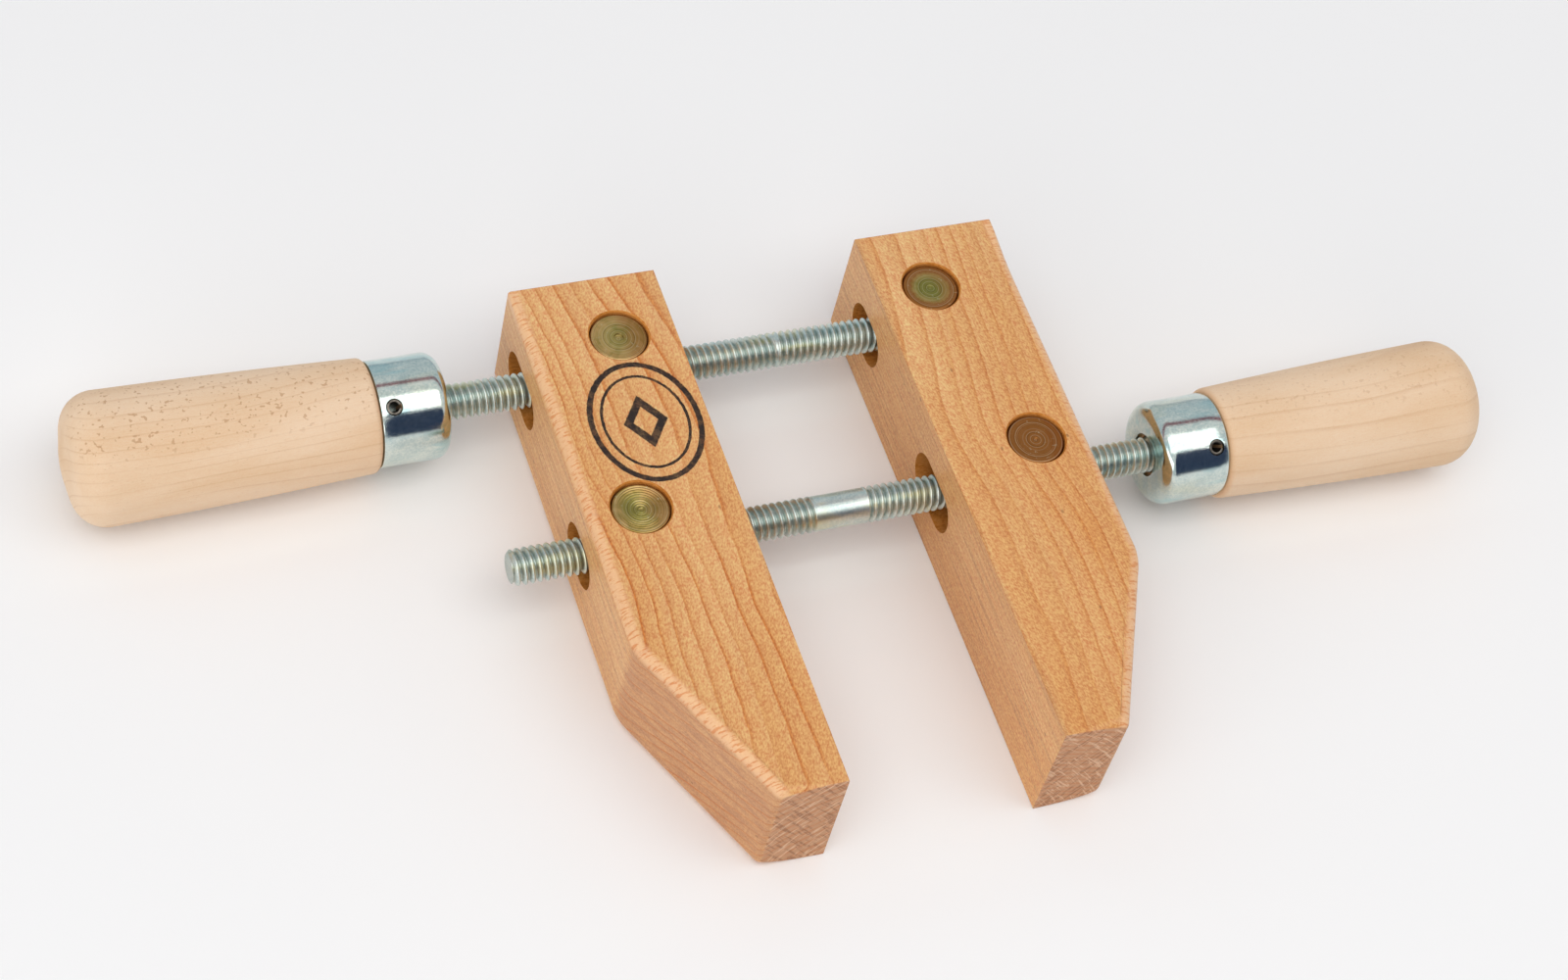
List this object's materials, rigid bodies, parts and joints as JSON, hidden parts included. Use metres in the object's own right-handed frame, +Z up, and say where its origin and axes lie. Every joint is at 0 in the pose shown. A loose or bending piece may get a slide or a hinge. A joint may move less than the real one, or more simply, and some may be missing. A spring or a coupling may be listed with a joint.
{
  "type": "wooden hand screw clamp",
  "caption": "Wooden hand screw clamp: parallel tapered jaws drawn together by left-and-right-hand screws that pass through swivel nuts, with turned wooden handles.",
  "frame": {"origin": "on the surface that the jaws lie on, midway between the jaws and midway along their length, with the clamp open as it is stored", "axes": "+X along the screws towards the middle screw's handle, +Y from the jaws' noses to their heels, +Z up, along the swivel nuts"},
  "size_m": [0.36, 0.1524, 0.0338],
  "materials": {
    "jaw_maple": "hard maple under clear amber lacquer, satin",
    "handle_maple": "turned and sanded maple, bare",
    "spindle_zinc": "cold-formed thread, bright zinc plate",
    "ferrule_zinc": "drawn steel cup, bright zinc plate",
    "nut_plating": "turned steel, yellow zinc plate",
    "pin_steel": "oiled spring steel"
  },
  "bodies": {
    "left_jaw": {"left_jaw": "jaw_maple"},
    "left_end_nut": {"left_end_nut": "nut_plating"},
    "left_middle_nut": {"left_middle_nut": "nut_plating"},
    "end_screw": {"end_spindle": "spindle_zinc", "end_ferrule": "ferrule_zinc", "end_handle": "handle_maple", "end_handle_pin": "pin_steel"},
    "middle_screw": {"middle_spindle": "spindle_zinc", "middle_ferrule": "ferrule_zinc", "middle_handle": "handle_maple", "middle_handle_pin": "pin_steel"},
    "right_end_nut": {"right_end_nut": "nut_plating"},
    "right_jaw": {"right_jaw": "jaw_maple"},
    "right_middle_nut": {"right_middle_nut": "nut_plating"}
  },
  "joints": [
    {"name": "left_end_nut_swivel", "type": "hinge", "parent": "left_jaw", "child": "left_end_nut", "pos_m": [-0.04195, 0.0578, 0.0169], "axis": [0, 0, 1], "range_deg": [0, 6]},
    {"name": "left_middle_nut_swivel", "type": "hinge", "parent": "left_jaw", "child": "left_middle_nut", "pos_m": [-0.05185, 0.007, 0.0169], "axis": [0, 0, 1], "range_deg": [0, 6]},
    {"name": "end_screw_travel", "type": "slide", "parent": "left_end_nut", "child": "end_screw", "axis": [1, 0, 0], "range_m": [-0.02438, 0.01078]},
    {"name": "middle_screw_turn", "type": "hinge", "parent": "end_screw", "child": "middle_screw", "pos_m": [0, 0.007, 0.0169], "axis": [1, 0, 0], "range_deg": [-4680, 2070]},
    {"name": "right_end_nut_travel", "type": "slide", "parent": "end_screw", "child": "right_end_nut", "axis": [1, 0, 0], "range_m": [-0.02438, 0.01078]},
    {"name": "right_jaw_toe", "type": "hinge", "parent": "right_end_nut", "child": "right_jaw", "pos_m": [0.04195, 0.0578, 0.0169], "axis": [0, 0, 1], "range_deg": [0, 6]},
    {"name": "right_middle_nut_swivel", "type": "hinge", "parent": "right_jaw", "child": "right_middle_nut", "pos_m": [0.05185, 0.007, 0.0169], "axis": [0, 0, 1], "range_deg": [-6, 0]}
  ],
  "couplings": [
    {"joint": "end_screw_travel", "follows": "middle_screw_turn", "m_per_rad": 0.00029842},
    {"joint": "right_end_nut_travel", "follows": "middle_screw_turn", "m_per_rad": 0.00029842},
    {"joint": "left_end_nut_swivel", "follows": "right_jaw_toe", "ratio": 1},
    {"joint": "left_middle_nut_swivel", "follows": "right_jaw_toe", "ratio": 1},
    {"joint": "right_middle_nut_swivel", "follows": "right_jaw_toe", "ratio": -1}
  ]
}
